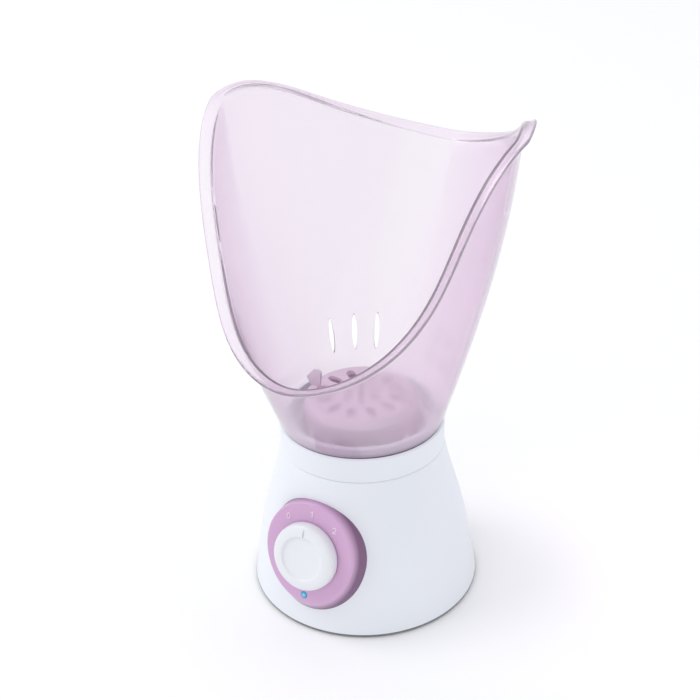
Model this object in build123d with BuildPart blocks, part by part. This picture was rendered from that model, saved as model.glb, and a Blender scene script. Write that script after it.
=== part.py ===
"""Facial steamer: a heated water base, a lift-off aroma cup with its lid, and a lift-off face mask.

Millimetres. +Z is up and the control knob faces -Y. The origin is on the table, under the centre of the base.
"""

from math import acos, copysign, cos, pi, radians, sin

from build123d import *

# Driving dimensions of the base
base_radius = 69.6
housing_bottom = 1.0
housing_top = 96.0
housing_wall = 2.4
collar_radius = 49.3
collar_top = 111.8
collar_bore = 43.5
lip_radius = 45.9
lip_top = 117.8

# Driving dimensions of the control panel on the front of the base
panel_tilt = 14.8
panel_centre = (0, -64.58, 51.5)
panel_half_width = 28.8
panel_half_height = 30.7
panel_egg = 0.066
panel_flare_width = 0.25
panel_flare_height = 0.6
panel_flare_drop = 0.3
panel_reach = 16.0
panel_thickness = 2.2
knob_radius = 20.3
knob_height = 8.3
knob_gap = 0.6
shaft_radius = 3.0
switch_face = -9.0
lamp_drop = 25.7
lamp_radius = 2.2
mark_circle = 25.2
mark_angle = 38.0
mark_depth = 0.25
nut_seat = -4.6
pin_places = ((-19, 3), (19, 3))

# Driving dimensions of the water bowl and its heater
bowl_rim_radius = 43.0
bowl_rim_z = 107.6
bowl_throat = 37.9
bowl_floor_radius = 30.0
bowl_floor_z = 86.0
bowl_wall = 1.2
deck_bore = 44.0
clamp_circle = 40.2
clamp_thickness = 1.5
heater_radius = 26.0
heater_thickness = 3.5
thermostat_x = 9.0
fuse_x = -10.0

# Driving dimensions of the aroma cup and lid
cup_radius = 34.5
cup_foot_z = 98.5
cup_skirt_z = 104.0
cup_shoulder_z = 120.5
cup_neck_radius = 32.0
lid_top = 127.0
lid_tab_angle = 10.0
tab_thickness = 2.4
pad_well_radius = 24.0

# Driving dimensions of the face mask
mask_seat = 112.0
mask_foot_radius = 48.3
mask_span = 160.0
mask_wall = 2.0
lip_width = 7.8
lip_thickness = 2.2
slot_angles = (20.5, 34.0, 49.0)
slot_centre_z = 137.2
slot_half_width = 1.7
slot_half_height = 10.2

# Driving dimensions of the underside
plate_bottom = 1.6
plate_top = 4.6
foot_circle = 54.0
boss_circle = 56.5
screw_radius = 1.5
gland_z = 16.0
gland_bore = 3.2
gland_face_y = 61.6
block_y = 30.0
lead_radius = 1.1

panel_plane = Plane(
    origin=panel_centre,
    x_dir=(1, 0, 0),
    z_dir=(0, -cos(radians(panel_tilt)), sin(radians(panel_tilt))),
)

made = []


def finish(builder, name):
    """Labels a finished piece and writes its STEP file."""
    builder.part.label = name
    export_step(builder.part, f"parts/{name}.step")
    made.append(name)


def bell(inset, bottom, top):
    """The base's bell form as a closed solid, its side moved in by inset, between two heights."""
    outline = [
        (base_radius, housing_bottom),
        (67.5, 14),
        (65.4, 28),
        (62.8, 42),
        (59.4, 56),
        (55.4, 70),
        (51.7, 84),
        (49.3, housing_top),
    ]
    with BuildPart() as form:
        with BuildSketch(Plane.XZ):
            with BuildLine():
                side = Spline([(radius - inset, z) for radius, z in outline])
                Polyline(side @ 1, (0, housing_top), (0, housing_bottom), side @ 0)
            make_face()
            with Locations((0, (bottom + top) / 2)):
                Rectangle(2 * base_radius, top - bottom, mode=Mode.INTERSECT)
        revolve(axis=Axis.Z)
    return form.part


def ring_section(*corners):
    """A closed outline of (radius, height) corners in the XZ plane, ready to revolve."""
    with BuildSketch(Plane.XZ) as section:
        with BuildLine():
            Polyline(*corners, close=True)
        make_face()
    return section.sketch


def pan_screw(head_radius, head_height, length):
    """A screw along +Z: its head's underside is at the origin and its shank points up."""
    with BuildPart() as screw:
        Cylinder(screw_radius, length, align=(Align.CENTER, Align.CENTER, Align.MIN))
        Cylinder(head_radius, head_height, align=(Align.CENTER, Align.CENTER, Align.MAX))
        with BuildSketch(Plane.XY.offset(-head_height)):
            Rectangle(head_radius, 0.7)
            Rectangle(0.7, head_radius)
        extrude(amount=0.6, mode=Mode.SUBTRACT)
    return screw.part


# Bosses that take the base screws, joined to the housing's side by ribs
with BuildPart() as bosses:
    with PolarLocations(boss_circle, 4, start_angle=45):
        Cylinder(4.2, 24, align=(Align.CENTER, Align.CENTER, Align.MIN))
        with Locations((6, 0, 0)):
            Box(12, 2, 24, align=(Align.CENTER, Align.CENTER, Align.MIN))
bosses_part = Pos(0, 0, plate_top) * bosses.part
outer_bell = bell(0, housing_bottom, housing_top)
inner_bell = bell(housing_wall, housing_bottom, housing_top - housing_wall)

# Base housing: one moulded bell with a flat deck that carries the collar
with BuildPart() as base_housing:
    add(outer_bell)
    fillet(base_housing.edges().filter_by(GeomType.CIRCLE).sort_by(Axis.Z)[-1], 1.0)
    fillet(base_housing.edges().filter_by(GeomType.CIRCLE).sort_by(Axis.Z)[0], 0.6)
    add(inner_bell, mode=Mode.SUBTRACT)
    with BuildSketch(Plane.XY.offset(housing_top)):
        Circle(deck_bore)
    extrude(amount=-3 * housing_wall, mode=Mode.SUBTRACT)
    add(bosses_part & bell(0.5, housing_bottom, housing_top))
    with BuildSketch(Plane.XY.offset(plate_top)):
        with PolarLocations(boss_circle, 4, start_angle=45):
            Circle(screw_radius)
    extrude(amount=14, mode=Mode.SUBTRACT)
    # flat seat for the switch nut, then the holes for the switch, the lamp and the panel's pins
    with BuildSketch(panel_plane.offset(nut_seat)):
        Circle(8)
    extrude(amount=6, mode=Mode.SUBTRACT)
    with BuildSketch(panel_plane):
        Circle(4.7)
        with Locations((0, -lamp_drop)):
            Circle(2.6)
        with Locations(*pin_places):
            Circle(2.1)
    extrude(amount=-24, mode=Mode.SUBTRACT)
    with BuildSketch(Plane.XZ.offset(-base_radius)):
        with Locations((0, gland_z)):
            Circle(4.6)
    extrude(amount=12, mode=Mode.SUBTRACT)
finish(base_housing, "base_housing")

# Collar: the white ring between the base and the mask, with a lip that centres the mask
with BuildPart() as collar_ring:
    section = ring_section(
        (44.8, housing_top),
        (collar_radius - 0.6, housing_top),
        (collar_radius, housing_top + 0.6),
        (collar_radius, collar_top - 1.0),
        (collar_radius - 1.0, collar_top),
        (lip_radius, collar_top),
        (lip_radius, lip_top - 0.8),
        (lip_radius - 0.8, lip_top),
        (collar_bore, lip_top),
        (collar_bore, 106.0),
        (39.5, 106.0),
        (39.5, 104.2),
        (41.6, 104.2),
        (41.6, 86.0),
        (43.8, 86.0),
        (43.8, housing_top),
    )
    revolve(section, axis=Axis.Z)
    with BuildSketch(Plane.XY.offset(housing_top)):
        Circle(47.0)
        Circle(45.3, mode=Mode.SUBTRACT)
    extrude(amount=13.4, mode=Mode.SUBTRACT)
    with PolarLocations(clamp_circle, 3, start_angle=90):
        with Locations((0, 0, 81.3)):
            Cylinder(3.5, 10.7, align=(Align.CENTER, Align.CENTER, Align.MIN))
            Cylinder(screw_radius, 8, align=(Align.CENTER, Align.CENTER, Align.MIN), mode=Mode.SUBTRACT)
finish(collar_ring, "collar_ring")

# Water bowl: a spun aluminium dish whose rim lies on a soft gasket in the collar
with BuildPart() as heating_bowl:
    section = ring_section(
        (0, bowl_floor_z),
        (bowl_floor_radius - 2, bowl_floor_z),
        (bowl_floor_radius, bowl_floor_z + 1),
        (bowl_throat, bowl_rim_z),
        (bowl_rim_radius, bowl_rim_z),
        (bowl_rim_radius, bowl_rim_z - 0.8),
        (bowl_throat + bowl_wall, bowl_rim_z - 0.8),
        (bowl_floor_radius + bowl_wall, bowl_floor_z + 0.8),
        (bowl_floor_radius - 1, bowl_floor_z - bowl_wall),
        (0, bowl_floor_z - bowl_wall),
    )
    revolve(section, axis=Axis.Z)
finish(heating_bowl, "heating_bowl")

with BuildPart() as bowl_gasket:
    revolve(ring_section((39.6, 106.0), (43.2, 106.0), (43.2, 106.8), (39.6, 106.8)), axis=Axis.Z)
finish(bowl_gasket, "bowl_gasket")

# Heater under the bowl, held up by a three-armed steel plate
heater_top = bowl_floor_z - bowl_wall
clamp_top = heater_top - heater_thickness
clamp_bottom = clamp_top - clamp_thickness
with BuildPart() as heater_disc:
    with BuildSketch(Plane.XY.offset(clamp_top)):
        Circle(heater_radius)
    extrude(amount=heater_thickness)
    with BuildSketch(Plane.XY.offset(clamp_top)):
        with Locations((0, 24), (0, -24)):
            Rectangle(4, 8)
    extrude(amount=0.8)
finish(heater_disc, "heater_disc")

with BuildPart() as heater_clamp:
    with BuildSketch(Plane.XY.offset(clamp_top)):
        Circle(18)
        with PolarLocations(21, 3, start_angle=90):
            Rectangle(42, 9)
        with PolarLocations(clamp_circle, 3, start_angle=90):
            Circle(4.5)
            Circle(1.7, mode=Mode.SUBTRACT)
    extrude(amount=-clamp_thickness)
finish(heater_clamp, "heater_clamp")

clamp_screw = pan_screw(3.2, 1.8, 8.5)
with BuildPart() as clamp_screws:
    with PolarLocations(clamp_circle, 3, start_angle=90):
        with Locations((0, 0, clamp_bottom)):
            add(clamp_screw)
finish(clamp_screws, "clamp_screws")

with BuildPart() as thermostat:
    with BuildSketch(Plane.XY.offset(clamp_bottom)):
        with Locations((thermostat_x, 0)):
            Circle(8)
    extrude(amount=-9)
    with BuildSketch(Plane.XY.offset(clamp_bottom - 9)):
        with Locations((thermostat_x, -5), (thermostat_x, 5)):
            Rectangle(6.3, 0.8)
    extrude(amount=-7)
    fillet(thermostat.edges().filter_by(GeomType.CIRCLE).sort_by(Axis.Z)[0], 0.6)
finish(thermostat, "thermostat")

with BuildPart() as thermal_fuse:
    with Locations(Location((fuse_x, 0, clamp_bottom - 1.8), (90, 0, 0))):
        Cylinder(1.8, 12)
        Cylinder(0.5, 26)
finish(thermal_fuse, "thermal_fuse")

# Control panel: an egg-shaped pad on the front of the bell, flared towards it and hollow behind its face
def panel_outline(inset, depth):
    """The panel's egg-shaped outline at a depth behind its face, moved in by inset."""
    steps = 16
    outline = []
    for step in range(steps):
        angle = 2 * pi * step / steps
        half_width = panel_half_width + panel_flare_width * depth - inset
        half_height = panel_half_height + panel_flare_height * depth - inset
        x = half_width * (1 + panel_egg * sin(angle)) * cos(angle)
        outline.append((x, 0.3 - panel_flare_drop * depth + half_height * sin(angle)))
    return outline


def panel_form(inset, start):
    """The panel's solid form, moved in by inset, from a depth behind its face back into the bell."""
    with BuildPart() as form:
        for depth in (start, start + panel_reach):
            with BuildSketch(panel_plane.offset(-depth)):
                with BuildLine():
                    Spline(panel_outline(inset, depth), periodic=True)
                make_face()
        loft(ruled=True)
    return form.part


panel_outer = panel_form(0, 0)
panel_hollow = panel_form(2.0, panel_thickness)
panel_axis = Axis(panel_centre, panel_plane.z_dir)

with BuildPart() as control_bezel:
    add(panel_outer)
    fillet(control_bezel.edges().sort_by(panel_axis)[-1], 1.2)
    add(panel_hollow, mode=Mode.SUBTRACT)
    add(outer_bell, mode=Mode.SUBTRACT)
    with BuildSketch(panel_plane.offset(-1)):
        with Locations(*pin_places):
            Circle(2.0)
    extrude(amount=-14)
    with BuildSketch(panel_plane):
        Circle(5.2)
        with Locations((0, -lamp_drop)):
            Circle(lamp_radius)
    extrude(amount=-5, mode=Mode.SUBTRACT)
finish(control_bezel, "control_bezel")

# Raised numerals 0, 1 and 2 around the knob
with BuildPart() as dial_marks:
    for step, strokes in enumerate(
        (
            [],
            [(-0.9, 0.9), (0.15, 1.7), (0.15, -1.7)],
            [(-1.1, 0.9), (-0.6, 1.6), (0.5, 1.6), (1.05, 0.8), (0.7, -0.1), (-1.1, -1.65), (1.2, -1.65)],
        )
    ):
        angle = radians(90 + mark_angle * (1 - step))
        place = panel_plane * Pos(mark_circle * cos(angle), mark_circle * sin(angle), 0)
        with BuildSketch(Plane(place)):
            if strokes:
                with BuildLine() as stroke_line:
                    Polyline(*strokes)
                trace(stroke_line.line, 0.55)
            else:
                Ellipse(1.3, 1.9)
                Ellipse(0.8, 1.4, mode=Mode.SUBTRACT)
        extrude(amount=mark_depth)
finish(dial_marks, "dial_marks")

# Indicator: a clear lens in the panel with a lamp on a small board behind it
lamp_plane = Plane(panel_plane * Pos(0, -lamp_drop, 0))
with BuildPart() as indicator_lens:
    with BuildSketch(lamp_plane.offset(-panel_thickness)):
        Circle(lamp_radius)
    extrude(amount=panel_thickness + 0.4)
    fillet(indicator_lens.edges().sort_by(Axis(lamp_plane.origin, lamp_plane.z_dir))[-1], 0.5)
finish(indicator_lens, "indicator_lens")

with BuildPart() as indicator_lamp:
    with BuildSketch(lamp_plane.offset(-9.4)):
        Circle(1.9)
    extrude(amount=1.0)
    with BuildSketch(lamp_plane.offset(-8.4)):
        Circle(1.5)
    extrude(amount=5.6)
    fillet(indicator_lamp.edges().sort_by(Axis(lamp_plane.origin, lamp_plane.z_dir))[-1], 1.2)
finish(indicator_lamp, "indicator_lamp")

with BuildPart() as lamp_board:
    with BuildSketch(lamp_plane.offset(-11.0)):
        Rectangle(14, 9)
    extrude(amount=1.6)
finish(lamp_board, "lamp_board")

# Rotary switch behind the housing wall, with its bushing through the wall and a nut on it
with BuildPart() as rotary_switch:
    with BuildSketch(panel_plane.offset(switch_face)):
        RectangleRounded(24, 26, 2)
    extrude(amount=-15)
    with BuildSketch(panel_plane.offset(switch_face)):
        Circle(4.5)
    extrude(amount=-switch_face - 0.8)
    with BuildSketch(panel_plane.offset(switch_face - 15)):
        with GridLocations(8, 14, 2, 2):
            Rectangle(4.8, 0.8)
    extrude(amount=-6)
    with BuildSketch(panel_plane):
        Circle(shaft_radius + 0.05)
    extrude(amount=-20, mode=Mode.SUBTRACT)
finish(rotary_switch, "rotary_switch")

with BuildPart() as switch_nut:
    with BuildSketch(panel_plane.offset(nut_seat)):
        RegularPolygon(6.5, 6)
        Circle(4.5, mode=Mode.SUBTRACT)
    extrude(amount=2.0)
finish(switch_nut, "switch_nut")

with BuildPart() as switch_shaft:
    with BuildSketch(panel_plane.offset(-19)):
        Circle(shaft_radius)
    extrude(amount=25)
    with BuildSketch(panel_plane.offset(1.5)):
        with Locations((0, -shaft_radius)):
            Rectangle(2 * shaft_radius, 2.4)
    extrude(amount=5, mode=Mode.SUBTRACT)
finish(switch_shaft, "switch_shaft")

# Knob: a low drum with a bevelled front, a shallow thumb dish and a pointer notch
knob_base = panel_plane.offset(knob_gap)
with BuildPart() as control_knob:
    with BuildSketch(knob_base):
        Circle(knob_radius)
    with BuildSketch(knob_base.offset(knob_height - knob_gap - 1.4)):
        Circle(knob_radius - 0.5)
    loft()
    with BuildSketch(knob_base.offset(knob_height - knob_gap - 1.4)):
        Circle(knob_radius - 0.5)
    with BuildSketch(knob_base.offset(knob_height - knob_gap)):
        Circle(knob_radius - 3.0)
    loft()
    with BuildSketch(panel_plane.offset(knob_height)):
        Circle(12.8)
    extrude(amount=-0.8, taper=25, mode=Mode.SUBTRACT)
    with BuildSketch(knob_base):
        Circle(knob_radius - 2.2)
        Circle(5.5, mode=Mode.SUBTRACT)
    extrude(amount=4.4, mode=Mode.SUBTRACT)
    with BuildSketch(knob_base):
        Circle(shaft_radius)
        with Locations((0, -shaft_radius)):
            Rectangle(2 * shaft_radius, 2.4, mode=Mode.SUBTRACT)
    extrude(amount=5.4, mode=Mode.SUBTRACT)
    with BuildSketch(knob_base):
        Circle(shaft_radius)
    extrude(amount=1.5 - knob_gap, mode=Mode.SUBTRACT)
    with BuildSketch(panel_plane.offset(knob_height - 1.0)):
        with Locations((0, 17.4)):
            Rectangle(0.8, 5.2)
    extrude(amount=4, mode=Mode.SUBTRACT)
finish(control_knob, "control_knob")

# Underside: a plate closes the bell, four screws hold it and four soft feet are stuck in its recesses
with BuildPart() as base_plate:
    with BuildSketch(Plane.XY.offset(plate_bottom)):
        Circle(66.2)
    extrude(amount=plate_top - plate_bottom)
    with BuildSketch(Plane.XY.offset(plate_bottom)):
        with PolarLocations(boss_circle, 4, start_angle=45):
            Circle(3.9)
    extrude(amount=1.6, mode=Mode.SUBTRACT)
    with BuildSketch(Plane.XY.offset(plate_bottom)):
        with PolarLocations(boss_circle, 4, start_angle=45):
            Circle(1.7)
    extrude(amount=5, mode=Mode.SUBTRACT)
    with BuildSketch(Plane.XY.offset(plate_bottom)):
        with PolarLocations(foot_circle, 4):
            Circle(6.1)
    extrude(amount=0.8, mode=Mode.SUBTRACT)
    with BuildSketch(Plane.XY.offset(plate_bottom)):
        with GridLocations(8, 0, 5, 1):
            SlotOverall(26, 3, rotation=90)
    extrude(amount=5, mode=Mode.SUBTRACT)
finish(base_plate, "base_plate")

base_screw = pan_screw(3.5, 1.4, 13)
with BuildPart() as base_screws:
    with PolarLocations(boss_circle, 4, start_angle=45):
        with Locations((0, 0, plate_bottom + 1.6)):
            add(base_screw)
finish(base_screws, "base_screws")

with BuildPart() as rubber_feet:
    with BuildSketch():
        with PolarLocations(foot_circle, 4):
            Circle(6.0)
    extrude(amount=plate_bottom + 0.8)
    fillet(rubber_feet.edges().group_by(Axis.Z)[0], 0.5)
finish(rubber_feet, "rubber_feet")

# Mains side: a bush where the supply lead enters, a terminal block, and the leads inside the base
with BuildPart() as cord_gland:
    with BuildSketch(Plane.XZ.offset(-gland_face_y)):
        with Locations((0, gland_z)):
            Circle(6.2)
    extrude(amount=-1.8)
    with BuildSketch(Plane.XZ.offset(-gland_face_y - 1.8)):
        with Locations((0, gland_z)):
            Circle(4.5)
    extrude(amount=-5.0)
    with BuildSketch(Plane.XZ.offset(-gland_face_y - 6.8)):
        with Locations((0, gland_z)):
            Circle(6.2)
    extrude(amount=-1.4)
    with BuildSketch(Plane.XZ.offset(-gland_face_y)):
        with Locations((0, gland_z)):
            Circle(gland_bore)
    extrude(amount=-8.2, mode=Mode.SUBTRACT)
finish(cord_gland, "cord_gland")

with BuildPart() as terminal_block:
    with BuildSketch(Plane.XY.offset(plate_top)):
        with Locations((0, block_y)):
            Rectangle(30, 16)
    extrude(amount=12)
    with BuildSketch(Plane.XZ.offset(-(block_y - 8))):
        with Locations((0, plate_top + 5)):
            with GridLocations(9, 0, 3, 1):
                Circle(1.6)
    extrude(amount=-16, mode=Mode.SUBTRACT)
    with BuildSketch(Plane.XY.offset(plate_top + 12)):
        with Locations((0, block_y)):
            with GridLocations(9, 0, 3, 1):
                Circle(2.0)
    extrude(amount=-4, mode=Mode.SUBTRACT)
finish(terminal_block, "terminal_block")

with BuildPart() as terminal_screws:
    with BuildSketch(Plane.XY.offset(plate_top + 8)):
        with Locations((0, block_y)):
            with GridLocations(9, 0, 3, 1):
                Circle(1.8)
    extrude(amount=2.6)
    with BuildSketch(Plane.XY.offset(plate_top + 10.6)):
        with Locations((0, block_y)):
            with GridLocations(9, 0, 3, 1):
                Rectangle(3.0, 0.6)
    extrude(amount=-1, mode=Mode.SUBTRACT)
finish(terminal_screws, "terminal_screws")


def lead(name, *route):
    """An insulated wire that follows straight runs joined by wide bends."""
    with BuildPart() as wire:
        with BuildLine():
            path = FilletPolyline(*route, radius=5)
        with BuildSketch(Plane(origin=path @ 0, z_dir=path % 0)):
            Circle(lead_radius)
        sweep()
    finish(wire, name)


lead_z = plate_top + 5
lead_y = block_y - 8
lead("supply_lead", (-9, lead_y, lead_z), (-9, -2, lead_z), (-7, -20, 27), (-4, -37.2, 36.9))
lead("switched_lead", (4, -33.6, 50.6), (4, -24, 51), (9, -5, 54), (9, -5, 63.8))
lead("heater_lead", (9, 5, 63.8), (9, 5, 56), (15, -14, 58), (2, -28, 67), (0, -28, 81.2))
lead(
    "return_lead",
    (9, lead_y, lead_z),
    (9, 11, lead_z),
    (-6, 18, 34),
    (-12, 26, 60),
    (-10, 25, 78),
    (-10, 13, 78),
)

# Aroma cup: a pierced drum that stands in the bowl on three legs and holds the aroma pad
with BuildPart() as aroma_cup:
    section = ring_section(
        (cup_radius, cup_skirt_z),
        (cup_radius, cup_shoulder_z),
        (cup_neck_radius, cup_shoulder_z),
        (cup_neck_radius, cup_shoulder_z + 1.5),
        (cup_neck_radius - 3.0, cup_shoulder_z + 3.5),
        (cup_neck_radius - 4.5, cup_shoulder_z + 3.5),
        (cup_neck_radius - 4.5, cup_shoulder_z - 1.8),
        (cup_radius - 1.8, cup_shoulder_z - 1.8),
        (cup_radius - 1.8, cup_skirt_z),
    )
    revolve(section, axis=Axis.Z)
    revolve(
        ring_section(
            (0, 110),
            (pad_well_radius, 110),
            (pad_well_radius, 122),
            (pad_well_radius - 1.6, 122),
            (pad_well_radius - 1.6, 111.6),
            (0, 111.6),
        ),
        axis=Axis.Z,
    )
    with BuildSketch(Plane.XY.offset(110)):
        with PolarLocations(28.3, 6, start_angle=30):
            Rectangle(9.6, 2.2)
    extrude(amount=4)
    with BuildSketch(Plane.XY.offset(cup_foot_z)):
        with PolarLocations(cup_radius - 2.1, 3, start_angle=90):
            Rectangle(2.0, 10)
    extrude(amount=cup_skirt_z + 2 - cup_foot_z)
    for step in range(9):
        face_angle = 70 + 40 * step
        side_plane = Plane(
            origin=(0, 0, cup_skirt_z),
            x_dir=(-sin(radians(face_angle)), cos(radians(face_angle)), 0),
            z_dir=(cos(radians(face_angle)), sin(radians(face_angle)), 0),
        )
        with BuildSketch(side_plane.offset(30.5)):
            with Locations((0, 3)):
                Ellipse(5, 5.4)
        extrude(amount=6, mode=Mode.SUBTRACT)
finish(aroma_cup, "aroma_cup")

# Aroma lid: a shallow cap with a sloped shoulder, pierced with petals, and two upright tabs to lift it by
with BuildPart() as aroma_lid:
    section = ring_section(
        (0, lid_top - 2),
        (cup_radius - 4.5, lid_top - 2),
        (cup_radius - 1.8, lid_top - 5),
        (cup_radius - 1.8, lid_top - 6),
        (cup_radius, lid_top - 6),
        (cup_radius, lid_top - 4),
        (cup_radius - 3.5, lid_top),
        (0, lid_top),
    )
    revolve(section, axis=Axis.Z)
    with BuildSketch(Plane.XY.offset(lid_top)):
        Circle(2.6)
        with PolarLocations(9.5, 6):
            Ellipse(4.2, 2.0)
        with PolarLocations(22, 12, start_angle=15):
            Ellipse(5.2, 2.9)
    extrude(amount=-3, mode=Mode.SUBTRACT)
    for tab_angle in (lid_tab_angle, lid_tab_angle + 180):
        turn = radians(tab_angle)
        tab_plane = Plane(
            origin=(0, 0, lid_top),
            x_dir=(cos(turn), sin(turn), 0),
            z_dir=(sin(turn), -cos(turn), 0),
        )
        with BuildSketch(tab_plane):
            with BuildLine():
                Polyline((26, -1.5), (25, 9), (27, 10), (30, 10), (34, 5.5), (31, -1.5), close=True)
            make_face()
        extrude(amount=tab_thickness / 2, both=True)
finish(aroma_lid, "aroma_lid")

# Face mask: a flared cup moulded in clear pink plastic, cut away at the front, with a turned-out lip
with BuildLine(Plane.YZ) as mask_side:
    Spline(
        (-75.9, 168.8),
        (-56, 190.5),
        (-41, 217.2),
        (-25, 261),
        (0, 289.2),
        (20, 294.7),
        (45, 288.9),
        (75, 272.3),
        (118.1, 247.3),
    )
mask_edge = mask_side.edges()[0]


def mask_section(z):
    """Half width, half depth, centre and roundness power of the mask's outer form at a height."""
    rise = (z - mask_seat) / mask_span
    half_width = mask_foot_radius + 49.1 * rise + 1.7 * rise**2 - 11.1 * rise**3
    front = mask_foot_radius + 81.3 * rise - 9.8 * rise**2
    back = mask_foot_radius + 91.3 * rise - 18.5 * rise**2 + 9.6 * rise**3
    power = 2 - 0.57 * rise
    return half_width, (back + front) / 2, (back - front) / 2, power


def mask_point(angle, z, inset=0.0):
    """A point of the mask's wall; angle 0 is the front and pi the back."""
    half_width, half_depth, centre, power = mask_section(z)
    share = abs(cos(angle))
    x = (half_width - inset) * (1 - share**power) ** (1 / power)
    return Vector(copysign(x, sin(angle)), centre - (half_depth - inset) * cos(angle), z)


half_steps = 16
right_rim = [(0.0, (mask_edge @ 0).Z)]
for step in range(1, half_steps):
    point = mask_edge @ (step / half_steps)
    _, half_depth, centre, _ = mask_section(point.Z)
    right_rim.append((acos((centre - point.Y) / half_depth), point.Z))
right_rim.append((pi, (mask_edge @ 1).Z))
rim = right_rim + [(2 * pi - angle, z) for angle, z in reversed(right_rim[1:-1])]
inner_rim = [mask_point(angle, z, mask_wall) for angle, z in rim]


def wall_ring(share, inset):
    """A closed curve round the wall at a share of the way up from the seat to the rim."""
    return Edge.make_spline(
        [mask_point(angle, mask_seat + share * (z - mask_seat), inset) for angle, z in rim],
        periodic=True,
    )


def lip_turn(angle):
    """How far the lip turns away from the wall's own direction: most at the temples, least at the brow."""
    return radians(64.6 + 13.8 * cos(angle) - 17.2 * cos(2 * angle))


def lip_ring(share, drop):
    """A closed curve along the turned-out lip, at a share of its width and a depth below its face."""
    points = []
    for step, (angle, z) in enumerate(rim):
        along = inner_rim[(step + 1) % len(rim)] - inner_rim[step - 1]
        up = mask_point(angle, z + 1) - mask_point(angle, z - 1)
        outward = along.cross(up).normalized()
        stem = outward.cross(along).normalized()
        turn = lip_turn(angle)
        lip_way = outward * sin(turn) + stem * cos(turn)
        lip_normal = stem * sin(turn) - outward * cos(turn)
        root = (mask_wall * drop / lip_thickness - drop * cos(turn)) / sin(turn)
        reach = root + share * (lip_width - root)
        points.append(inner_rim[step] + lip_way * reach - lip_normal * drop)
    return Edge.make_spline(points, periodic=True)


mask_rings = [
    wall_ring(0, 0),
    wall_ring(0.33, 0),
    wall_ring(0.66, 0),
    lip_ring(0, lip_thickness),
    lip_ring(1, lip_thickness),
    lip_ring(1, 0),
    lip_ring(0, 0),
    wall_ring(0.66, mask_wall),
    wall_ring(0.33, mask_wall),
    wall_ring(0, mask_wall),
]
mask_faces = [
    Face.make_surface_from_curves(ring, mask_rings[(step + 1) % len(mask_rings)])
    for step, ring in enumerate(mask_rings)
]
mask_shell = Solid(Shell(mask_faces))

with BuildPart() as face_mask:
    add(mask_shell)
    for side in (-1, 1):
        for slot_angle in slot_angles:
            turn = radians(90 - side * slot_angle)
            slot_plane = Plane(
                origin=(0, 0, slot_centre_z),
                x_dir=(-sin(turn), cos(turn), 0),
                z_dir=(cos(turn), sin(turn), 0),
            )
            with BuildSketch(slot_plane.offset(45)):
                Ellipse(slot_half_width, slot_half_height)
            extrude(amount=25, mode=Mode.SUBTRACT)
finish(face_mask, "face_mask")

print(len(made), "pieces:", ", ".join(made))
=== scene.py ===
"""Facial steamer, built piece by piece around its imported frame. Metres, +Z up, the knob faces -Y."""

from math import acos, cos, pi, radians, sin, tan

import bmesh
import bpy
import numpy as np
from mathutils import Matrix, Vector


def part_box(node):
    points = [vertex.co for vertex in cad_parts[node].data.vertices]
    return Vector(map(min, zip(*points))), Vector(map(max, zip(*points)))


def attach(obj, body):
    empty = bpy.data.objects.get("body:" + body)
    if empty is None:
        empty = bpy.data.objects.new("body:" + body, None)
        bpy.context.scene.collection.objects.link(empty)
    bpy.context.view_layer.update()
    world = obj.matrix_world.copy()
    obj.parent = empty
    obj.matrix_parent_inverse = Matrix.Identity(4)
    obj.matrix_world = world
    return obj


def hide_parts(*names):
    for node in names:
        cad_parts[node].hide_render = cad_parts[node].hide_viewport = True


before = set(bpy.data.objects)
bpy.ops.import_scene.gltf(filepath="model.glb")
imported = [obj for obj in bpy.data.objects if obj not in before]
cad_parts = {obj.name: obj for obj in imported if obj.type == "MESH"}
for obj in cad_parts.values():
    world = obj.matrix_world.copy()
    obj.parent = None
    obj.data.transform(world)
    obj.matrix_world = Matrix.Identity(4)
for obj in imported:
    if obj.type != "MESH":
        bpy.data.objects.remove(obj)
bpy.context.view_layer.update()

# ---------------------------------------------------------------- base housing
# One bell of white ABS, injection moulded with a fine satin grain, and a thin grey line of painted shade
# round its foot.
# A flat deck closes its top, and a round ABS plate closes it below, held by four screws; the plate is
# coloured dark grey as painted shade for the gap under the bell.

MM = 0.001
# the thin line of painted shade at the bell's foot: its height and its blend
shade_line_height = 1.3 * MM
shade_line_blend = 0.4 * MM


def linear(hex_colour):
    """An sRGB hex colour as linear RGBA."""
    shares = [int(hex_colour[i : i + 2], 16) / 255 for i in (0, 2, 4)]
    return [s / 12.92 if s <= 0.04045 else ((s + 0.055) / 1.055) ** 2.4 for s in shares] + [1.0]


def add_node(tree, kind, settings=None, **inputs):
    """Adds a node.

    settings are its properties. inputs are its sockets, by name or as i0, i1 and so on, each with a value
    or a link.
    """
    made = tree.nodes.new(kind)
    for name, value in (settings or {}).items():
        setattr(made, name, value)
    for name, value in inputs.items():
        key = int(name[1:]) if name[0] == "i" and name[1:].isdigit() else name.replace("_", " ")
        if isinstance(value, bpy.types.NodeSocket):
            tree.links.new(value, made.inputs[key])
        else:
            made.inputs[key].default_value = value
    return made


def new_material(name):
    """An empty node material and its tree."""
    material = bpy.data.materials.new(name)
    material.use_nodes = True
    material.node_tree.nodes.clear()
    return material, material.node_tree


def dress(material, *nodes):
    """Gives CAD nodes a material."""
    for node in nodes:
        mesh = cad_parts[node].data
        mesh.materials.clear()
        mesh.materials.append(material)


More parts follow.
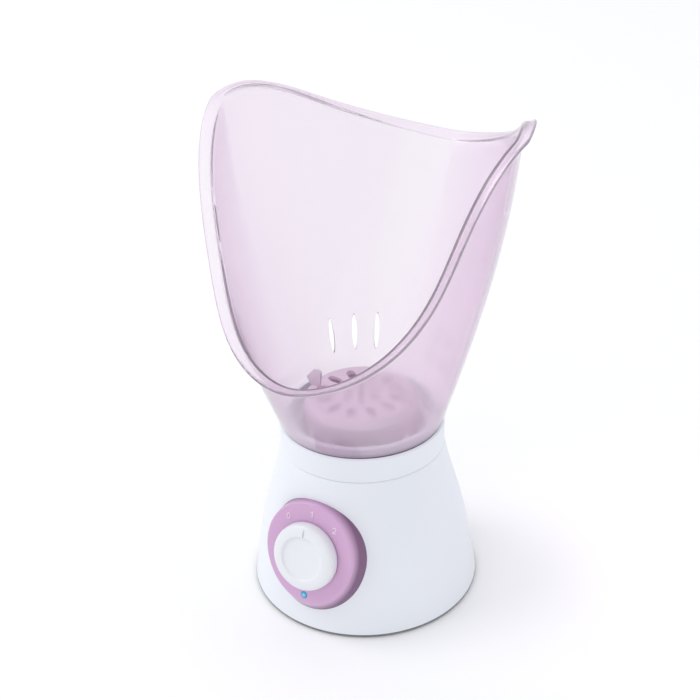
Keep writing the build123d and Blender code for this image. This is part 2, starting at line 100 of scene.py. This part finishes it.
def surface(name, low_hex, high_hex, roughness, grain_mm, grain_depth, ior=None):
    """A surface whose colour and gloss drift slightly over it, under a fine grain of grain_mm.

    One without an IOR is a metal, and keeps the shader's own.
    """
    material, tree = new_material(name)
    place = add_node(tree, "ShaderNodeTexCoord").outputs["Object"]
    flow = add_node(tree, "ShaderNodeTexNoise", Vector=place, Scale=1 / (60 * MM), Detail=2.0)
    mix = {"data_type": "RGBA"}
    low_colour, high_colour = linear(low_hex), linear(high_hex)
    colour = add_node(tree, "ShaderNodeMix", mix, Factor=flow.outputs["Fac"], i6=low_colour, i7=high_colour)
    grain = add_node(tree, "ShaderNodeTexNoise", Vector=place, Scale=1 / (grain_mm * MM), Detail=3.0)
    bump = add_node(
        tree, "ShaderNodeBump", Height=grain.outputs["Fac"], Strength=grain_depth, Distance=0.05 * MM
    )
    low, high = roughness - 0.04, roughness + 0.04
    gloss = add_node(tree, "ShaderNodeMapRange", Value=flow.outputs["Fac"], i3=low, i4=high)
    substance = {"IOR": ior} if ior else {"Metallic": 1.0}
    shader = add_node(
        tree,
        "ShaderNodeBsdfPrincipled",
        Base_Color=colour.outputs[2],
        Roughness=gloss.outputs["Result"],
        Normal=bump.outputs["Normal"],
        **substance,
    )
    add_node(tree, "ShaderNodeOutputMaterial", Surface=shader.outputs["BSDF"])
    return material


def change_along(material, direction, start, end, new_hex):
    """Turns a material's colour into another one between two distances along a direction."""
    tree = material.node_tree
    shader = next(n for n in tree.nodes if n.type == "BSDF_PRINCIPLED")
    place = next(n for n in tree.nodes if n.type == "TEX_COORD").outputs["Object"]
    first = shader.inputs["Base Color"].links[0].from_socket
    dot = {"operation": "DOT_PRODUCT"}
    along = add_node(tree, "ShaderNodeVectorMath", dot, i0=place, i1=tuple(direction))
    share = add_node(tree, "ShaderNodeMapRange", Value=along.outputs["Value"], i1=start, i2=end)
    mix = {"data_type": "RGBA"}
    last = linear(new_hex)
    colour = add_node(tree, "ShaderNodeMix", mix, Factor=share.outputs["Result"], i6=first, i7=last)
    tree.links.new(colour.outputs[2], shader.inputs["Base Color"])


# the eye gets a clean, slightly cool white with one soft, wide sheen
white_abs = surface("white_abs_satin_moulded", "e6eaf0", "eef1f5", 0.36, 0.9, 0.10, ior=1.53)
# painted shade: the lowest edge of the bell is drawn grey, as a thin shadow line just above the table
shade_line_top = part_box("base_housing")[0][2] + shade_line_height
change_along(white_abs, (0, 0, 1), shade_line_top, shade_line_top - shade_line_blend, "6a6d70")
dress(white_abs, "base_housing")
# painted shade: the plate is coloured dark grey so that the gap under the bell reads dark
plate_shade_grey = surface("grey_plate_painted_shade", "3c3e42", "45474b", 0.45, 0.9, 0.15, ior=1.53)
dress(plate_shade_grey, "base_plate")

# ---------------------------------------------------------------- collar ring
# A second white ABS moulding, pushed down onto the deck. It carries the mask on its shoulder.
# It is polished a little brighter than the bell, so the seam between them reads as a thin line.

white_collar = surface("white_abs_polished_moulded", "e6eaf0", "edf0f5", 0.34, 0.9, 0.06, ior=1.53)
dress(white_collar, "collar_ring")

# ---------------------------------------------------------------- control panel
# A flared pad of pink ABS that snaps onto the front of the bell with two pins.
# Its face is satin, and its side darkens to a deeper rose down to the bell, which is painted shade.

panel_tilt = radians(14.8)
panel_origin = np.array([0, -64.58, 51.5])
panel_out = np.array([0, -cos(panel_tilt), sin(panel_tilt)])
panel_up = np.array([0, sin(panel_tilt), cos(panel_tilt)])
panel_side = np.array([1.0, 0, 0])
# how far behind the face the painted shade on the side starts and where it is full
side_shade_start = 1.0 * MM
side_shade_full = 6.5 * MM
pink_abs = surface("pink_abs_satin_moulded", "cda3c9", "d5add1", 0.28, 0.9, 0.08, ior=1.53)
# painted shade: the side is given a deeper rose than the face, darker the further it lies behind the face,
# so that the edge between them shows
face_at = float(panel_origin @ panel_out) * MM
change_along(pink_abs, panel_out, face_at - side_shade_start, face_at - side_shade_full, "7a5478")
dress(pink_abs, "control_bezel")

# ---------------------------------------------------------------- numerals
# 0, 1 and 2 stand on the panel round the top of the knob, one for each of its three positions.
# They are pad printed in thin white ink, so the pink shows a little through them.

pad_ink = surface("white_ink_pad_printed", "e6d0e4", "ecdcea", 0.55, 0.4, 0.05, ior=1.5)
dress(pad_ink, "dial_marks")

# ---------------------------------------------------------------- knob
# A white ABS drum with a rounded front edge, a shallow thumb dish and one pointer groove.
# It is pushed onto the switch's flatted shaft, and is the only part of the control that turns.

# (radius, height over the panel), from the dish over the edge and down to the inside
knob_profile_mm = [
    (6.5, 6.95),
    (10.5, 7.0),
    (11.9, 7.08),
    (12.6, 7.4),
    (12.9, 7.9),
    (13.3, 8.2),
    (14.0, 8.28),
    (15.5, 8.15),
    (17.4, 7.75),
    (18.7, 7.2),
    (19.5, 6.4),
    (19.9, 5.2),
    (20.1, 3.0),
    (20.2, 1.0),
    (20.0, 0.62),
    (18.1, 0.62),
    (18.1, 5.0),
    (5.5, 5.0),
    (5.5, 0.62),
    (3.1, 0.62),
    (3.1, 6.0),
]
groove_width = 1.1
groove_length = 6.4
groove_depth = 1.0
groove_radius = 16.2
knob_height = 8.3


def mesh_piece(name, points_mm, faces):
    """An object from points in mm and faces between them."""
    mesh = bpy.data.meshes.new(name)
    mesh.from_pydata([tuple(float(c) * MM for c in p) for p in points_mm], [], faces)
    mesh.update()
    piece = bpy.data.objects.new(name, mesh)
    bpy.context.scene.collection.objects.link(piece)
    return piece


def tidy_mesh(piece, cap=False, angle=40):
    """Turns all faces outwards, closes open ends if asked, and shades it smooth except over sharp edges."""
    work = bmesh.new()
    work.from_mesh(piece.data)
    if cap:
        bmesh.ops.holes_fill(work, edges=work.edges, sides=0)
    bmesh.ops.recalc_face_normals(work, faces=work.faces)
    work.to_mesh(piece.data)
    work.free()
    piece.data.shade_smooth()
    piece.data.set_sharp_from_angle(angle=radians(angle))


def band_piece(name, rows, closed=True):
    """A mesh through rows of points, each a closed loop; when closed, the last row joins the first."""
    count = len(rows[0])
    faces = []
    for r in range(len(rows) if closed else len(rows) - 1):
        s = (r + 1) % len(rows)
        for c in range(count):
            d = (c + 1) % count
            faces.append((r * count + c, r * count + d, s * count + d, s * count + c))
    return mesh_piece(name, [p for row in rows for p in row], faces)


def lathe(name, profile, origin, side, up, out, steps=128):
    """Turns a profile of (radius, height) points about the axis out from the origin, and caps its ends."""
    turns = np.linspace(0, 2 * pi, steps, endpoint=False)
    rows = [[origin + (side * cos(t) + up * sin(t)) * r + out * h for t in turns] for r, h in profile]
    piece = band_piece(name, rows, closed=False)
    tidy_mesh(piece, cap=True)
    return piece


def cut_with(piece, cutters):
    """Cuts the cutters out of the piece and removes them."""
    for cutter in cutters:
        modifier = piece.modifiers.new("cut", "BOOLEAN")
        modifier.object = cutter
        modifier.operation = "DIFFERENCE"
        modifier.solver = "EXACT"
    bpy.context.view_layer.update()
    done = bpy.data.meshes.new_from_object(piece.evaluated_get(bpy.context.evaluated_depsgraph_get()))
    piece.modifiers.clear()
    piece.data = done
    for cutter in cutters:
        bpy.data.objects.remove(cutter)


def prism(name, centre, side, up, out, outline, depth):
    """A closed prism with the given outline of (side, up) points, used to cut a recess or slot."""
    ends = (-depth / 2, depth / 2)
    rows = [[centre + side * x + up * y + out * reach for x, y in outline] for reach in ends]
    cutter = band_piece(name, rows, closed=False)
    tidy_mesh(cutter, cap=True)
    return cutter


def oval(half_width, half_height, steps):
    """Points round an ellipse."""
    turns = np.linspace(0, 2 * pi, steps, endpoint=False)
    return [(half_width * cos(t), half_height * sin(t)) for t in turns]


knob = lathe("control_knob_drum", knob_profile_mm, panel_origin, panel_side, panel_up, panel_out)
groove_outline = oval(groove_width / 2, groove_length / 2, 24)
groove_centre = panel_origin + panel_up * groove_radius + panel_out * knob_height
groove = prism("groove", groove_centre, panel_side, panel_up, panel_out, groove_outline, 2 * groove_depth)
cut_with(knob, [groove])
tidy_mesh(knob, angle=32)
# the eye gets a white slightly duller than the bell, so that the dish and the rounded edge show
knob_abs = surface("white_abs_spark_finished", "e4e6ea", "ebedf0", 0.36, 0.8, 0.10, ior=1.53)
knob.data.materials.append(knob_abs)
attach(knob, "knob")
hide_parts("control_knob")

# ---------------------------------------------------------------- indicator
# A small domed lens of clear polycarbonate in the panel, with a blue lamp behind it that is on.
# The lamp's light is painted on the lens as a glow: nearly white in the middle, with a deeper blue ring at
# the lens's edge.

lens_radius = 2.15
lens_drop = 25.7
glow_inner = 0.6 * MM
glow_outer = 1.7 * MM
lens_profile_mm = [
    (0.3, 0.55),
    (0.9, 0.5),
    (1.5, 0.36),
    (1.95, 0.1),
    (lens_radius, -0.3),
    (lens_radius, -2.2),
]
lens_centre = panel_origin - panel_up * lens_drop
lens = lathe("indicator_dome", lens_profile_mm, lens_centre, panel_side, panel_up, panel_out, 48)
material, tree = new_material("blue_polycarbonate_polished")
place = add_node(tree, "ShaderNodeTexCoord").outputs["Object"]
middle = tuple(lens_centre * MM)
reach = add_node(tree, "ShaderNodeVectorMath", {"operation": "DISTANCE"}, i0=place, i1=middle)
share = add_node(tree, "ShaderNodeMapRange", Value=reach.outputs["Value"], i1=glow_inner, i2=glow_outer)
mix = {"data_type": "RGBA"}
# painted light: the lens itself glows, nearly white in the middle and deeper blue towards its edge
near, far = linear("b9f2ff"), linear("1488ad")
glow = add_node(tree, "ShaderNodeMix", mix, Factor=share.outputs["Result"], i6=near, i7=far)
shader = add_node(
    tree,
    "ShaderNodeBsdfPrincipled",
    Base_Color=linear("1f86a8"),
    Roughness=0.12,
    IOR=1.58,
    Emission_Color=glow.outputs[2],
    Emission_Strength=0.42,
)
add_node(tree, "ShaderNodeOutputMaterial", Surface=shader.outputs["BSDF"])
lens.data.materials.append(material)
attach(lens, "base")
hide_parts("indicator_lens")

# ---------------------------------------------------------------- water bowl and its gasket
# The bowl is spun from aluminium sheet and hangs in the deck by its rim.
# The rim lies on a soft ring of white silicone that keeps the water out of the base.

# the eye gets a pale, blurred silver with no clear reflections
spun_aluminium = surface("aluminium_spun", "ececee", "f4f4f5", 0.50, 0.5, 0.20)
dress(spun_aluminium, "heating_bowl")
# the ring shows as a dull, slightly grey white
silicone = surface("silicone_matt_moulded", "d9dade", "e2e3e6", 0.60, 0.7, 0.10, ior=1.43)
dress(silicone, "bowl_gasket")

# ---------------------------------------------------------------- face mask
# One injection moulding in clear pink SAN, lightly frosted and 2 mm thick. Its foot stands on the collar.
# Its lip turns outwards and ends in a rounded bead, and six narrow slots near its foot let air in.
# Sizes are in mm, and the side outline is the lip's line as (y, z), from the front to the back.

mask_foot_z = 112.0
mask_foot_radius = 48.3
mask_span = 160.0
mask_wall = 2.0
lip_width = 7.8
lip_thickness = 2.2
mask_side_mm = [
    (-75.9, 168.8),
    (-56, 190.5),
    (-41, 217.2),
    (-25, 261),
    (0, 289.2),
    (20, 294.7),
    (45, 288.9),
    (75, 272.3),
    (118.1, 247.3),
]
slot_half_width = 1.7
slot_half_height = 10.2
slot_radius = 57.0
slot_z = 137.2
slot_depth = 26.0
slot_angles = (20.5, 34.0, 49.0)
# the painted shade line at the mask's foot: where it starts and where it is full, above the foot
foot_shade_top = 0.9
foot_shade_full = 0.5


def smooth_line(points, count):
    """count points along the smooth curve that passes through points, close together at its two ends."""
    knots = np.array(points, float)
    at = np.concatenate([[0], np.cumsum(np.linalg.norm(np.diff(knots, axis=0), axis=1))])
    gaps = np.diff(at)
    rows = np.eye(len(knots))
    sides = np.zeros_like(knots)
    for i in range(1, len(knots) - 1):
        rows[i, i - 1 : i + 2] = gaps[i - 1], 2 * (gaps[i - 1] + gaps[i]), gaps[i]
        sides[i] = 6 * ((knots[i + 1] - knots[i]) / gaps[i] - (knots[i] - knots[i - 1]) / gaps[i - 1])
    bend = np.linalg.solve(rows, sides)
    wanted = at[-1] * (1 - np.cos(np.linspace(0, pi, count))) / 2
    out = []
    for t in wanted:
        i = min(int(np.searchsorted(at, t, side="right")) - 1, len(gaps) - 1)
        u, v = at[i + 1] - t, t - at[i]
        out.append(
            (bend[i] * u**3 + bend[i + 1] * v**3) / (6 * gaps[i])
            + (knots[i] / gaps[i] - bend[i] * gaps[i] / 6) * u
            + (knots[i + 1] / gaps[i] - bend[i + 1] * gaps[i] / 6) * v
        )
    return np.array(out)


def mask_section(z):
    """Half width, half depth, centre and roundness power of the mask's outer form at height z."""
    rise = (z - mask_foot_z) / mask_span
    half_width = mask_foot_radius + 49.1 * rise + 1.7 * rise**2 - 11.1 * rise**3
    front = mask_foot_radius + 81.3 * rise - 9.8 * rise**2
    back = mask_foot_radius + 91.3 * rise - 18.5 * rise**2 + 9.6 * rise**3
    return half_width, (back + front) / 2, (back - front) / 2, 2 - 0.57 * rise


def mask_point(angle, z, inset):
    """A point of the wall at a height, inset from its outer face; the angle goes round from the front."""
    half_width, half_depth, centre, power = mask_section(z)
    share = min(abs(cos(angle)), 1.0)
    x = (half_width - inset) * max(1 - share**power, 0) ** (1 / power)
    return np.array([x if sin(angle) >= 0 else -x, centre - (half_depth - inset) * cos(angle), z])


columns_half = 150
edge_steps = 1600
edge = smooth_line(mask_side_mm, edge_steps)
edge_angles = []
for y, z in edge:
    _, half_depth, centre, _ = mask_section(z)
    edge_angles.append(acos(max(-1.0, min(1.0, (centre - y) / half_depth))))
edge_angles[0], edge_angles[-1] = 0.0, pi
edge_points = np.array([mask_point(a, z, mask_wall) for a, (y, z) in zip(edge_angles, edge)])
run = np.concatenate([[0], np.cumsum(np.linalg.norm(np.diff(edge_points, axis=0), axis=1))])
even = np.linspace(0, run[-1], columns_half + 1)
right_angles = np.interp(even, run, edge_angles)
right_heights = np.interp(even, run, edge[:, 1])
rim = [(a, z) for a, z in zip(right_angles, right_heights)]
rim += [(2 * pi - a, z) for a, z in reversed(rim[1:-1])]
columns = len(rim)

inner_rim = np.array([mask_point(a, z, mask_wall) for a, z in rim])
outwards, stems = [], []
for i, (a, z) in enumerate(rim):
    along = inner_rim[(i + 1) % columns] - inner_rim[i - 1]
    up = mask_point(a, z + 1, 0) - mask_point(a, z - 1, 0)
    outward = np.cross(along, up)
    outward /= np.linalg.norm(outward)
    stem = np.cross(outward, along)
    outwards.append(outward)
    stems.append(stem / np.linalg.norm(stem))


def arc(centre, radius, start, end, steps):
    """Points along an arc in the lip's cross-section."""
    turns = np.linspace(start, end, steps + 1)
    return [(centre[0] + radius * cos(t), centre[1] + radius * sin(t)) for t in turns]


def lip_profile(turn):
    """The lip's cross-section as (outwards, up the wall) points, from the outer wall round to the inner."""
    way = np.array([sin(turn), cos(turn)])
    normal = np.array([-cos(turn), sin(turn)])
    half = lip_thickness / 2
    root_reach = (mask_wall - lip_thickness * cos(turn)) / sin(turn)
    root = way * root_reach - normal * lip_thickness
    under_radius, inner_radius = 1.2, 2.6
    under_run = under_radius * tan(turn / 2)
    inner_run = inner_radius * tan(turn / 2)
    points = arc(root + np.array([under_radius, -under_run]), under_radius, pi, pi - turn, 6)
    facing = pi / 2 - turn
    waist = (lip_width + root_reach + under_run) / 2
    points += [way * waist - normal * (lip_thickness - 0.25)]
    points += arc(way * (lip_width - half) - normal * half, half, facing - pi / 2, facing + pi / 2, 10)
    points += [way * (lip_width + inner_run) / 2 - normal * 0.35]
    points += arc(np.array([inner_radius, -inner_run]), inner_radius, pi - turn, pi, 8)
    return points


def wall_rows(inset):
    """Rows of wall points from the foot up to just under the lip's bend."""
    rise, under_lip = 34, 7.0
    return [
        [mask_point(a, mask_foot_z + share * (z - under_lip - mask_foot_z), inset) for a, z in rim]
        for share in np.linspace(0, 1, rise)
    ]


def mask_rows():
    """The outer wall up from its foot, the lip round to the inside, and the inner wall back down."""
    # the lip turns out furthest at the sides, less at the front and least at the back
    profiles = [lip_profile(radians(64.6 + 13.8 * cos(a) - 17.2 * cos(2 * a))) for a, _ in rim]
    lip = [
        [
            inner_rim[i] + outwards[i] * profiles[i][k][0] + stems[i] * profiles[i][k][1]
            for i in range(columns)
        ]
        for k in range(len(profiles[0]))
    ]
    return wall_rows(0) + lip + wall_rows(mask_wall)[::-1]


mask = band_piece("face_mask_shell", mask_rows())
tidy_mesh(mask)
slot_outline = oval(slot_half_width, slot_half_height, 40)
upright = np.array([0, 0, 1.0])
slot_cutters = []
for side in (-1, 1):
    for angle in slot_angles:
        turn = pi / 2 - side * radians(angle)
        out = np.array([cos(turn), sin(turn), 0])
        across = np.array([-sin(turn), cos(turn), 0])
        middle = out * slot_radius + upright * slot_z
        slot_cutters.append(prism("slot", middle, across, upright, out, slot_outline, slot_depth))
cut_with(mask, slot_cutters)
tidy_mesh(mask, angle=45)


def frosted_clear(name, thin_hex, thick_hex, through_hex, roughness, clear):
    """Tinted SAN with a light frost, rosier where the eye looks along the wall and through more of it."""
    material, tree = new_material(name)
    place = add_node(tree, "ShaderNodeTexCoord").outputs["Object"]
    frost = add_node(tree, "ShaderNodeTexNoise", Vector=place, Scale=1 / (0.8 * MM), Detail=3.0)
    flow = add_node(tree, "ShaderNodeTexNoise", Vector=place, Scale=1 / (45 * MM), Detail=1.0)
    bump = add_node(tree, "ShaderNodeBump", Height=frost.outputs["Fac"], Strength=0.05, Distance=0.03 * MM)
    low, high = roughness - 0.03, roughness + 0.03
    gloss = add_node(tree, "ShaderNodeMapRange", Value=flow.outputs["Fac"], i3=low, i4=high)
    slant = add_node(tree, "ShaderNodeLayerWeight", Blend=0.5).outputs["Facing"]
    mix = {"data_type": "RGBA"}
    tint = add_node(tree, "ShaderNodeMix", mix, Factor=slant, i6=linear(thin_hex), i7=linear(thick_hex))
    shader = add_node(
        tree,
        "ShaderNodeBsdfPrincipled",
        Base_Color=tint.outputs[2],
        Roughness=gloss.outputs["Result"],
        Normal=bump.outputs["Normal"],
        IOR=1.57,
        Transmission_Weight=clear,
    )
    # lamps' light passes it as it does thin plastic, so what stands inside isn't dark
    through = add_node(tree, "ShaderNodeBsdfTransparent", Color=linear(through_hex))
    rays = add_node(tree, "ShaderNodeLightPath").outputs["Is Shadow Ray"]
    seen, lit = shader.outputs["BSDF"], through.outputs["BSDF"]
    both = add_node(tree, "ShaderNodeMixShader", Fac=rays, i1=seen, i2=lit)
    add_node(tree, "ShaderNodeOutputMaterial", Surface=both.outputs["Shader"])
    return material


# the eye gets a pale pink haze that is nearly white where it is thin and rosier where two walls overlap
mask_san = frosted_clear("pink_san_frosted_moulded", "fff9fe", "e9cbe7", "fef9fd", 0.12, 0.87)
# painted shade: the lowest edge of the foot is drawn dark, as a thin shadow line against the collar
foot_shade_from, foot_shade_to = (mask_foot_z + foot_shade_top) * MM, (mask_foot_z + foot_shade_full) * MM
change_along(mask_san, (0, 0, 1), foot_shade_from, foot_shade_to, "6d5670")
mask.data.materials.append(mask_san)
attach(mask, "mask")
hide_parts("face_mask")

# ---------------------------------------------------------------- aroma cup and lid
# Both are moulded in the same pink SAN, a little stronger in colour. The cup stands in the bowl.
# The lid is pierced with petals that let the steam through, and has two tabs to lift it by.

# the eye gets a milky pink with soft shade in the holes
cup_san = frosted_clear("pink_san_polished_moulded", "fdf3fb", "efd6ec", "fef8fc", 0.10, 0.36)
dress(cup_san, "aroma_cup", "aroma_lid")

# ---------------------------------------------------------------- underside and mains side
# Four soft black feet sit in the plate's recesses, between four plated steel screws.
# A black rubber bush at the back takes the mains lead.

# the rubber is a dull near-black that takes almost no highlight
black_rubber = surface("black_rubber_moulded", "222224", "2b2b2d", 0.62, 0.6, 0.25, ior=1.52)
dress(black_rubber, "rubber_feet", "cord_gland")
# the plating gives the screws a cool, fairly bright grey
zinc_steel = surface("steel_zinc_plated", "b4b6ba", "c6c8cb", 0.32, 0.4, 0.15)
dress(zinc_steel, "base_screws", "clamp_screws", "heater_clamp")

# ---------------------------------------------------------------- heater and wiring inside the base
# A cast heater is clamped under the bowl, with a thermostat and a thermal fuse. A rotary switch stands
# behind the knob, a ceramic block joins the leads to the mains, and a small board holds the lamp.

# the casting is a rough mid grey
cast_aluminium = surface("aluminium_cast", "a3a5a8", "b4b6b9", 0.48, 0.8, 0.35)
dress(cast_aluminium, "heater_disc")
# the phenolic is black with a soft gloss
black_phenolic = surface("black_phenolic_moulded", "1d1d1f", "262628", 0.42, 0.5, 0.15, ior=1.55)
dress(black_phenolic, "thermostat", "rotary_switch")
# the fired ceramic is a chalky cream
steatite = surface("steatite_fired", "d3cdbf", "ddd8cb", 0.55, 0.5, 0.25, ior=1.55)
dress(steatite, "thermal_fuse", "terminal_block")
# the brass is a bright warm yellow with fine tool marks
brass = surface("brass_machined", "c9a65a", "d6b56c", 0.28, 0.3, 0.15)
dress(brass, "switch_nut", "switch_shaft", "terminal_screws")
# the board is a dark green under a smooth lacquer
board = surface("glass_epoxy_coated", "1f4a2a", "285a34", 0.30, 0.4, 0.08, ior=1.55)
dress(board, "lamp_board")
# the sleeves are a warm grey with a slight sheen
sleeve = surface("silicone_sleeve_extruded", "c6c3bc", "d2cfc8", 0.50, 0.4, 0.10, ior=1.43)
dress(sleeve, "supply_lead", "switched_lead", "heater_lead", "return_lead")
# the lamp's body is a clear, shiny blue
lamp_epoxy = surface("blue_epoxy_cast", "7fd3ea", "9fe2f4", 0.15, 0.5, 0.02, ior=1.55)
dress(lamp_epoxy, "indicator_lamp")

# ---------------------------------------------------------------- studio
# A pale seamless floor, one wide soft light high on the left, and an even white room round it.

floor_reach = 8.0
corners = [(-1, -1), (1, -1), (1, 1), (-1, 1)]
floor_mesh = bpy.data.meshes.new("studio_floor")
floor_mesh.from_pydata([(x * floor_reach, y * floor_reach, 0) for x, y in corners], [], [(0, 1, 2, 3)])
floor = bpy.data.objects.new("studio_floor", floor_mesh)
bpy.context.scene.collection.objects.link(floor)
# the eye gets a white ground with no shine, and only a soft shadow on it
paper, tree = new_material("white_paper_matt")
paper_shader = add_node(tree, "ShaderNodeBsdfPrincipled", Base_Color=linear("fdfdfd"), Roughness=0.95)
add_node(tree, "ShaderNodeOutputMaterial", Surface=paper_shader.outputs["BSDF"])
floor_mesh.materials.append(paper)

light_data = bpy.data.lights.new("soft_light", "AREA")
light_data.shape = "DISK"
light_data.size = 2.4
light_data.energy = 48
light = bpy.data.objects.new("soft_light", light_data)
bpy.context.scene.collection.objects.link(light)
light.location = (-2.7, -1.2, 3.4)
light.rotation_euler = (Vector((0, 0, 0.12)) - light.location).to_track_quat("-Z", "Y").to_euler()

world = bpy.data.worlds.new("white_room")
world.use_nodes = True
world.node_tree.nodes["Background"].inputs["Color"].default_value = linear("fafbff")
world.node_tree.nodes["Background"].inputs["Strength"].default_value = 0.91
bpy.context.scene.world = world
bpy.context.scene.view_settings.view_transform = "Standard"

# ---------------------------------------------------------------- camera
# It stands to the right of the knob and looks down at the collar.

azimuth, elevation = radians(31.0), radians(31.73)
distance = 0.7178
pan, tilt, roll = radians(0.476), radians(3.354), radians(-1.562)
target = Vector((0, 0, 0.1077))
back = Vector((sin(azimuth) * cos(elevation), -cos(azimuth) * cos(elevation), sin(elevation)))
right = Vector((cos(azimuth), sin(azimuth), 0))
up = back.cross(right)
right_panned = right * cos(pan) - back * sin(pan)
ahead = -right * sin(pan) - back * cos(pan)
up_tilted = up * cos(tilt) - ahead * sin(tilt)
ahead_tilted = up * sin(tilt) + ahead * cos(tilt)
right_rolled = right_panned * cos(roll) + up_tilted * sin(roll)
up_rolled = up_tilted * cos(roll) - right_panned * sin(roll)
camera_data = bpy.data.cameras.new("camera")
camera_data.sensor_width = 36
camera_data.lens = 61.714
camera = bpy.data.objects.new("camera", camera_data)
bpy.context.scene.collection.objects.link(camera)
turn = Matrix((right_rolled, up_rolled, -ahead_tilted)).transposed().to_4x4()
camera.matrix_world = Matrix.Translation(target + back * distance) @ turn
bpy.context.scene.camera = camera
